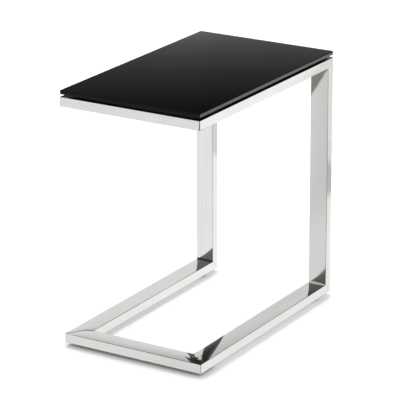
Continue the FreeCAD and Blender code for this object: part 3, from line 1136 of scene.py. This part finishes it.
@dataclass
class Glide:
    """A levelling glide: foot pad, threaded stem and the insert that it turns in.

    A profile's points are distances from the axis with heights over the floor.
    """

    place: str
    turn_segments: int = 64
    ease: float = 0.15 * MM
    sole: Points = ((0, 0.35 * MM), (8 * MM, 0.35 * MM), (8.4 * MM, 0.05 * MM), (8.7 * MM, 0))
    heel: Points = ((0.4 * MM, 0), (0.1 * MM, 0.1 * MM), (0, 0.4 * MM))
    pad_edge: float = 0.8 * MM
    pad_edge_segments: int = 6
    mouth: float = 3.0 * MM
    throat: float = 2.85 * MM
    socket: Points = ((2.85 * MM, 2.4 * MM), (4.6 * MM, 2.4 * MM), (4.6 * MM, 1.2 * MM), (0, 1.2 * MM))
    head: float = 4.5 * MM
    head_side: float = 0.85 * MM
    head_tall: float = 1.0 * MM
    neck: float = 2.75 * MM
    collar_low: float = 3.1 * MM
    collar_high: float = 4.5 * MM
    collar_flats: float = 11 * MM
    stem_radius: float = 3 * MM
    tip_bevel: float = 0.6 * MM
    pitch: float = 1 * MM
    thread_depth: float = 0.55 * MM
    thread_segments: int = 32
    thread_form: tuple = ((0, 0.0), (0, 0.12), (1, 0.45), (1, 0.58), (0, 0.92), (0, 1.0))
    thread_merge: float = 2e-6
    lead_in: float = 1.5
    bore: float = 3.05 * MM
    bore_segments: int = 48
    flange: float = 6.5 * MM
    flange_ease: float = 0.2 * MM
    flange_tall: float = 0.8 * MM
    shank_flats: float = 9 * MM
    nut_flats: float = 12 * MM
    nut_low: float = 2.3 * MM
    nut_tall: float = 3 * MM

    def __post_init__(self) -> None:
        """Takes its axis from its stem's node."""
        self.low, self.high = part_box(f"glide_stem_{self.place}")
        self.centre = Vector(((self.low.x + self.high.x) / 2, (self.low.y + self.high.y) / 2, 0))

    def section(self, part: Mesh, profile: list[Pair]) -> list:
        """Adds an open profile to a mesh, upright beside the axis, and gives its vertices and edges."""
        verts = [part.verts.new((self.centre.x + away, self.centre.y, up)) for away, up in profile]
        return verts + [part.edges.new(pair) for pair in zip(verts, verts[1:])]

    def turned(self, profile: list[Pair]) -> Mesh:
        """Turns an open profile about the axis.

        Args:
            profile: the profile's points.

        Returns:
            The turned shape's mesh.
        """
        bm = bmesh.new()
        sweep(bm, self.section(bm, profile), self.turn_segments, turn=math.tau, about=self.centre)
        bmesh.ops.remove_doubles(bm, verts=bm.verts, dist=SAME)
        return bm

    def pad(self) -> Mesh:
        """A foot pad, hollow for the stem's head.

        Returns:
            The pad's mesh.
        """
        low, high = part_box(f"glide_pad_{self.place}")
        radius, tall, edge = (high.x - low.x) / 2, high.z, self.pad_edge
        profile = [*self.sole, *((radius - inwards, up) for inwards, up in self.heel)]
        for step in range(self.pad_edge_segments + 1):
            angle = step / self.pad_edge_segments * math.pi / 2
            profile.append((radius - edge + edge * math.cos(angle), tall - edge + edge * math.sin(angle)))
        profile += [(self.mouth, tall), (self.throat, tall - self.ease), *self.socket]
        bm = self.turned(profile)
        face_outwards(bm)
        return bm

    def stem(self) -> Mesh:
        """A stem: head, neck, hexagonal collar and threaded shank.

        Returns:
            The stem's mesh.
        """
        low, ease, head, neck = self.low.z, self.ease, self.head, self.neck
        top = low + self.head_tall
        bm = self.turned([
            (0, low), (head - ease, low), (head, low + ease), (head, low + self.head_side),
            (head - ease, top), (neck, top), (neck, self.collar_low), (0, self.collar_low),
        ])
        take_in(bm, self.collar())
        take_in(bm, self.thread())
        face_outwards(bm)
        return bm

    def collar(self) -> Mesh:
        """A hexagon for a spanner, with eased edges.

        Returns:
            The collar's mesh.
        """
        bm = bmesh.new()
        tall, radius = self.collar_high - self.collar_low, self.collar_flats / math.sqrt(3)
        bmesh.ops.create_cone(bm, cap_ends=True, segments=HEXAGON, radius1=radius, radius2=radius, depth=tall)
        middle = Vector((0, 0, (self.collar_low + self.collar_high) / 2))
        shift(bm, self.centre + middle)
        rims = [edge for edge in bm.edges if abs(edge.verts[0].co.z - edge.verts[1].co.z) < SAME]
        bevel(bm, rims, self.ease, 2)
        return bm

    def thread(self) -> Mesh:
        """A threaded shank from the collar to the stem's tip.

        Returns:
            The shank's mesh.
        """
        bm = bmesh.new()
        low, high, centre, crest = self.collar_high, self.high.z, self.centre, self.stem_radius
        radii = (crest - self.thread_depth, crest)
        start = low - self.pitch * self.lead_in
        points = [(radii[at_crest], start + up * self.pitch) for at_crest, up in self.thread_form]
        turns = math.ceil((high - low) / self.pitch) + round(self.lead_in * 2)
        steps = turns * self.thread_segments
        rise = (0, 0, turns * self.pitch / steps)
        sweep(bm, self.section(bm, points), steps, rise, turn=math.tau * turns, about=centre)
        bmesh.ops.remove_doubles(bm, verts=bm.verts, dist=self.thread_merge)
        cut_plane(bm, Vector((0, 0, low)), -UP, clear=True)
        cut_plane(bm, Vector((0, 0, high)), UP, clear=True)
        for vert in bm.verts:
            limit = crest - self.tip_bevel + (high - vert.co.z)
            away = Vector((vert.co.x - centre.x, vert.co.y - centre.y))
            if away.length > limit:
                away *= limit / away.length
                vert.co.x, vert.co.y = centre.x + away.x, centre.y + away.y
        for level in (low, high):
            rim = [edge for edge in open_edges(bm) if abs(edge.verts[0].co.z - level) < SAME * 10]
            bmesh.ops.holes_fill(bm, edges=rim)
        return bm

    def insert(self) -> Mesh:
        """An insert: flange below the tube's wall, hexagonal shank and nut above it.

        Returns:
            The insert's mesh.
        """
        low, high = [corner.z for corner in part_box("glide_inserts")]
        bore, flange, ease = self.bore, self.flange, self.flange_ease
        base, nut_low = low + self.flange_tall, low + self.nut_low
        bm = self.turned([
            (bore, base), (bore, low + self.ease), (bore + self.ease, low), (flange - ease, low),
            (flange, low + ease), (flange, base), (bore, base),
        ])
        for flats, start, end in (
            (self.shank_flats, base, high), (self.nut_flats, nut_low, nut_low + self.nut_tall),
        ):
            part = bmesh.new()
            for segments, radius in ((HEXAGON, flats / math.sqrt(3)), (self.bore_segments, bore)):
                bmesh.ops.create_circle(part, cap_ends=False, segments=segments, radius=radius)
            sweep(part, list(part.verts) + list(part.edges), 1, (0, 0, end - start))
            for level in (0, end - start):
                rim = [
                    edge for edge in open_edges(part)
                    if all(abs(vert.co.z - level) < SAME for vert in edge.verts)
                ]
                fill_ring(part, rim)
            face_outwards(part)
            shift(part, self.centre + Vector((0, 0, start)))
            take_in(bm, part)
        return bm


@dataclass
class Glides:
    """The four levelling glides. Their inserts are one piece."""

    sharp_angle: float = 35.0
    pieces: list[bpy.types.Object] = field(default_factory=list)

    def build(self) -> None:
        """Builds the glides."""
        zinc, nylon = ZINC_STEEL.material(), MOULDED_NYLON.material()
        inserts, rows = bmesh.new(), []
        for place in [f"{end}_{side}" for end in ("front", "back") for side in SIDES]:
            glide, pad, stem = Glide(place), f"glide_pad_{place}", f"glide_stem_{place}"
            rows.append((f"{pad}_moulding", glide.pad(), nylon, pad, "foot_plastic", f"foot_{place}"))
            rows.append((f"{stem}_turned", glide.stem(), zinc, stem, ZINC_SLOT, f"stem_{place}"))
            take_in(inserts, glide.insert())
        rows.append(("glide_insert_set", inserts, zinc, "glide_inserts", ZINC_SLOT, FRAME_BODY))
        for name, bm, material, node, slot, body in rows:
            smooth_by_angle(bm, self.sharp_angle)
            self.pieces.append(finished_piece(name, bm, [material], node, body))


# Studio: floor, surroundings, light and camera.


@dataclass
class Studio:
    """Floor, surroundings, light and camera. The surroundings show in polished faces alone.

    A direction here is a pair (x, y) as seen from above. The camera looks towards the left back.
    """

    blockers: list[bpy.types.Object]
    floor_half: float = 12.0
    floor_drop: float = 0.2 * MM
    floor_colour: Colour = (0.9, 0.9, 0.9, 1.0)
    # The floor's glow to the camera, dimmed by ambient occlusion near the table as a painted contact shade.
    floor_glow: float = 0.36
    glow_reach: float = 0.12
    glow_samples: int = 8
    front_left: Pair = (-0.524, -0.852)
    front_right: Pair = (0.852, -0.524)
    back_right: Pair = (0.524, 0.852)
    screen_right: Pair = (0.852, 0.524)
    front_edge: float = -0.25
    left_edge: float = -0.15
    border: Slope = (0.0, 1.0, -0.02, 0.0)
    # Painted light and shade on the floor that the polished faces see, by place.
    front_tone: Slope = (0.95, 0.80, -0.20, 0.27)
    behind_tone: Slope = (1.05, 0.98, -0.15, 0.0)
    front_shadow: Slope = (1.0, 0.0, -0.212, -0.2)
    # A painted shadow patch on the floor, as the polished faces see it.
    shade_spot_at: tuple[float, float, float] = (0.553, 0.899, 0.0)
    shade_spot_tone: Slope = (0.68, 1.0, 0.10, 0.17)
    beyond: Slope = (0.0, 1.0, 0.93, 0.99)
    beyond_tone: Slope = (0.75, 0.87, -0.2, 0.0)
    far_right_tone: Slope = (1.0, 0.35, 0.29, 0.40)
    wall_radius: float = 1.35
    wall_tall: float = 1.6
    wall_segments: int = 128
    back_left_wall: Points = ((0.0, 0.85), (0.62, 0.85), (0.80, 0.6), (1.0, 0.4))
    front_left_wall: Points = (
        (0.0, 0.73), (0.22, 0.73), (0.30, 0.92), (0.41, 0.92), (0.45, 0.20), (0.56, 0.13), (0.72, 0.13),
        (0.78, 0.05), (0.86, 0.03), (1.0, 0.02),
    )
    back_right_wall: Points = ((0.0, 1.0), (0.24, 1.0), (0.34, 0.35), (0.6, 0.12), (1.0, 0.05))
    wall_gain: float = 1.2
    right_gain: Slope = (0.92, 1.06, -0.03, 0.03)
    dip_at: float = -0.055
    dip: Slope = (0.92, 1.0, 0.02, 0.05)
    wall_turn: Pair = (0.5, 0.8)
    screen_far: float = 0.75
    screen_wide: float = 1.0
    screen_tall: float = 1.6
    screen_fade: float = 0.36
    screen_tone: Slope = (1.0, 0.88, -0.02, 0.05)
    screen: Points = (
        (0.0, 0.81), (0.34, 0.81), (0.42, 0.75), (0.48, 0.65), (0.54, 0.51), (0.60, 0.45), (0.645, 0.41),
        (0.67, 0.265), (0.70, 0.175), (0.715, 0.145), (0.73, 0.11), (0.755, 0.078), (0.79, 0.041),
        (0.81, 0.025), (0.83, 0.018), (1.0, 0.012),
    )
    stand_at: float = -0.004
    stand_half: float = 0.033
    stand_foot: float = 0.449
    stand_head: float = 0.615
    stand_tone: Slope = (0.08, 1.0, -2 * MM, 4 * MM)
    panel_height: float = 2.6
    ceiling: Colour = (0.2, 0.2, 0.2, 1.0)
    fill: Colour = (0.585, 0.60, 0.63, 1.0)
    warm_fill: Colour = (0.63, 0.60, 0.565, 1.0)
    fill_strength: Pair = (0.5, 1.4)
    fill_range: Pair = (-0.45, 0.15)
    key_from: tuple[float, float, float] = (-0.356, 0.308, 0.880)
    key_far: float = 3.0
    key_side: float = 0.9
    key_power: float = 35.0
    key_colour: tuple[float, float, float] = (1.0, 0.975, 0.93)
    photo_pixels: float = 400
    focal_pixels: float = 2358.85
    sensor: float = 36.0
    view_reach: float = 100.0
    camera_at: tuple[float, float, float] = (2.305569, -3.753602, 1.75588)
    camera_heading: float = 31.582
    camera_dip: float = 18.852
    camera_roll: float = -0.255

    def build(self) -> None:
        """Builds the studio."""
        self.floor()
        self.wall()
        self.back_screen()
        self.panel()
        self.key()
        self.world()
        self.camera()

    def mirrored_only(self, name: str, bm: Mesh, material: Material) -> None:
        """Adds a piece of the studio that is seen in polished faces alone.

        Args:
            name: its name.
            bm: its mesh, in place.
            material: its material.
        """
        piece = new_object(name, bm, [material])
        for sight in ("camera", "diffuse", "transmission", "shadow"):
            setattr(piece, f"visible_{sight}", False)

    def floor_tone(self, graph: Graph) -> Socket:
        """How bright the floor lies in the polished faces, from place to place: painted light and shade, with
        a painted shadow patch.

        Args:
            graph: the floor's node tree.

        Returns:
            The brightness.
        """
        x, y, _ = graph.axes()
        across = graph.along(x, y, self.front_right)
        front = graph.spread(across, *self.front_tone)
        behind = graph.spread(across, *self.behind_tone)
        edge = graph.maths("MAXIMUM", graph.less(self.front_edge, y), graph.less(self.left_edge, x))
        tone = graph.between(graph.spread(edge, *self.border), behind, front)
        away = graph.add("VectorMath", {0: graph.place(), 1: self.shade_spot_at}, operation="DISTANCE")
        shade_spot = graph.spread(away.outputs["Value"], *self.shade_spot_tone)
        beyond = graph.spread(graph.along(x, y, self.back_right), *self.beyond)
        dusk = graph.between(beyond, 1.0, graph.spread(across, *self.beyond_tone))
        for factor in (shade_spot, dusk, graph.spread(across, *self.far_right_tone)):
            tone = graph.times(tone, factor)
        return tone

    def floor(self) -> None:
        """Lays the pale floor: white to the camera, with the table's shadow and a painted contact shade,
        clear from below.
        """
        bm = bmesh.new()
        bmesh.ops.create_grid(bm, x_segments=1, y_segments=1, size=self.floor_half)
        shift(bm, (0, 0, -self.floor_drop))
        graph = Graph(bpy.data.materials.new("studio_floor"))
        path = graph.add("LightPath").outputs
        ahead = graph.spread(graph.axes()[1], *self.front_shadow)
        scattered = graph.times(graph.maths("MINIMUM", path["Diffuse Depth"], 1.0), ahead)
        mirrored = graph.between(scattered, path["Is Glossy Ray"], 0.0)
        white = graph.maths("MAXIMUM", path["Is Camera Ray"], path["Is Transmission Ray"])
        # Ambient occlusion dims the glow next to the table: a painted contact shade.
        sky = graph.add("AmbientOcclusion", {"Distance": self.glow_reach}, samples=self.glow_samples)
        glow = graph.glow(graph.times(graph.times(sky.outputs["AO"], self.floor_glow), white))
        diffuse = graph.add("BsdfDiffuse", {"Color": self.floor_colour})
        lit = graph.add("AddShader", {0: diffuse, 1: glow})
        above = graph.mix(mirrored, lit, graph.glow(self.floor_tone(graph)))
        below = graph.add("BsdfTransparent")
        both = graph.mix(graph.add("NewGeometry").outputs["Backfacing"], above, below)
        new_object("studio_floor", bm, [graph.shade(both)])

    def wall(self) -> None:
        """Stands a round wall about the table, bright low down and dark above, for the steel to show."""
        bm = bmesh.new()
        bmesh.ops.create_cone(
            bm, cap_ends=False, segments=self.wall_segments, radius1=self.wall_radius,
            radius2=self.wall_radius, depth=self.wall_tall,
        )
        shift(bm, (0, 0, self.wall_tall / 2 + self.floor_drop / 2))
        bmesh.ops.reverse_faces(bm, faces=bm.faces)
        graph = Graph(bpy.data.materials.new("studio_wall"))
        x, y, z = graph.axes()
        tone, gain = graph.ramp(z, self.back_left_wall), 1.0
        across = graph.along(x, y, self.front_right)
        dip = graph.spread(graph.apart(across, self.dip_at), *self.dip)
        right = graph.times(graph.spread(across, *self.right_gain), dip)
        near, far = [share * self.wall_radius for share in self.wall_turn]
        for side, stops, strength in (
            (self.front_left, self.front_left_wall, self.wall_gain),
            (self.back_right, self.back_right_wall, right),
        ):
            share = graph.spread(graph.along(x, y, side), 0.0, 1.0, near, far)
            tone = graph.blend(share, tone, graph.ramp(z, stops))
            gain = graph.between(share, gain, strength)
        self.mirrored_only("studio_wall", bm, graph.shade(graph.glow(gain, tone)))

    def back_screen(self) -> None:
        """Stands a flat screen at the left back, with a dark upright on it, for the upward faces to show."""
        bm = bmesh.new()
        bmesh.ops.create_grid(bm, x_segments=1, y_segments=1, size=0.5)
        bmesh.ops.scale(bm, vec=(self.screen_wide, self.screen_tall, 1), verts=bm.verts)
        shift(bm, (0, self.screen_tall / 2, -self.screen_far))
        bmesh.ops.rotate(bm, matrix=STAND_UP, verts=bm.verts)
        back_left = Vector((self.front_left[0], -self.front_left[1], 0))
        turn = BACKWARDS.rotation_difference(back_left).to_matrix()
        bmesh.ops.rotate(bm, matrix=turn, verts=bm.verts)
        graph = Graph(bpy.data.materials.new("studio_screen"))
        x, y, z = graph.axes()
        across = graph.along(x, y, self.screen_right)
        beside = graph.less(graph.apart(across, self.stand_at), self.stand_half)
        past = graph.maths("MAXIMUM", graph.less(self.stand_foot, z), graph.less(z, self.stand_head))
        stand = graph.spread(graph.maths("MAXIMUM", beside, past), *self.stand_tone)
        strength = graph.times(graph.spread(across, *self.screen_tone), stand)
        fade = graph.spread(
            graph.maths("ABSOLUTE", across), 0.0, 1.0, self.screen_fade, self.screen_wide / 2)
        glow = graph.glow(strength, graph.ramp(z, self.screen))
        shader = graph.mix(fade, glow, graph.add("BsdfTransparent"))
        self.mirrored_only("studio_screen", bm, graph.shade(shader))

    def panel(self) -> None:
        """Hangs a bright panel overhead, for the steel and the glass to show."""
        bm = bmesh.new()
        bmesh.ops.create_grid(bm, x_segments=1, y_segments=1, size=1.0)
        shift(bm, (0, 0, self.panel_height))
        graph = Graph(bpy.data.materials.new("studio_panel"))
        self.mirrored_only("studio_panel", bm, graph.shade(graph.glow(1.0)))

    def key(self) -> None:
        """Sets the soft key lamp, at the left back. Only the pieces near the floor cast its shadow."""
        lamp = bpy.data.lights.new("key", "AREA")
        lamp.shape = "SQUARE"
        lamp.size = self.key_side
        lamp.energy = self.key_power
        lamp.color = self.key_colour
        item = bpy.data.objects.new("key", lamp)
        item.location = Vector(self.key_from).normalized() * self.key_far
        item.rotation_euler = (-Vector(self.key_from)).to_track_quat("-Z", "Y").to_euler()
        item.visible_glossy = False
        bpy.context.scene.collection.objects.link(item)
        shading = bpy.data.collections.new("key_shadow")
        for piece in self.blockers:
            shading.objects.link(piece)
        item.light_linking.blocker_collection = shading

    def world(self) -> None:
        """Sets what lies past the studio: white to the camera, dim in the steel, and the fill light."""
        graph = Graph(bpy.data.worlds.new("studio"))
        along = graph.axes(graph.add("TexCoord").outputs["Generated"])[1]
        back = graph.spread(along, 0.0, 1.0, *self.fill_range)
        last = graph.add("Background", {
            "Color": graph.blend(back, self.warm_fill, self.fill),
            "Strength": graph.spread(back, *self.fill_strength),
        })
        path = graph.add("LightPath").outputs
        for ray, colour in (("Is Glossy Ray", self.ceiling), ("Is Camera Ray", WHITE)):
            last = graph.mix(path[ray], last, graph.add("Background", {"Color": colour}))
        bpy.context.scene.world = graph.shade(last)

    def camera(self) -> None:
        """Sets the camera where the photograph was taken from."""
        data = bpy.data.cameras.new("camera")
        data.sensor_width = self.sensor
        data.lens = self.focal_pixels / self.photo_pixels * self.sensor
        data.clip_end = self.view_reach
        item = bpy.data.objects.new("camera", data)
        turn = Matrix.Rotation(math.radians(self.camera_heading), 4, "Z")
        tilt = Matrix.Rotation(math.radians(90 - self.camera_dip), 4, "X")
        roll = Matrix.Rotation(math.radians(self.camera_roll), 4, "Z")
        item.matrix_world = Matrix.Translation(self.camera_at) @ turn @ tilt @ roll
        bpy.context.scene.collection.objects.link(item)
        bpy.context.scene.camera = item
        bpy.context.scene.view_settings.view_transform = "Standard"


def main() -> None:
    """Builds the table's pieces and the studio round them."""
    steel, glides = WeldedFrame(), Glides()
    for part in (steel, GlassTop(), Spacers(), glides):
        part.build()
        log.info("%s built", type(part).__name__)
    Studio(steel.near_floor + glides.pieces).build()
    log.info("Studio built")


if __name__ == "__main__":
    main()
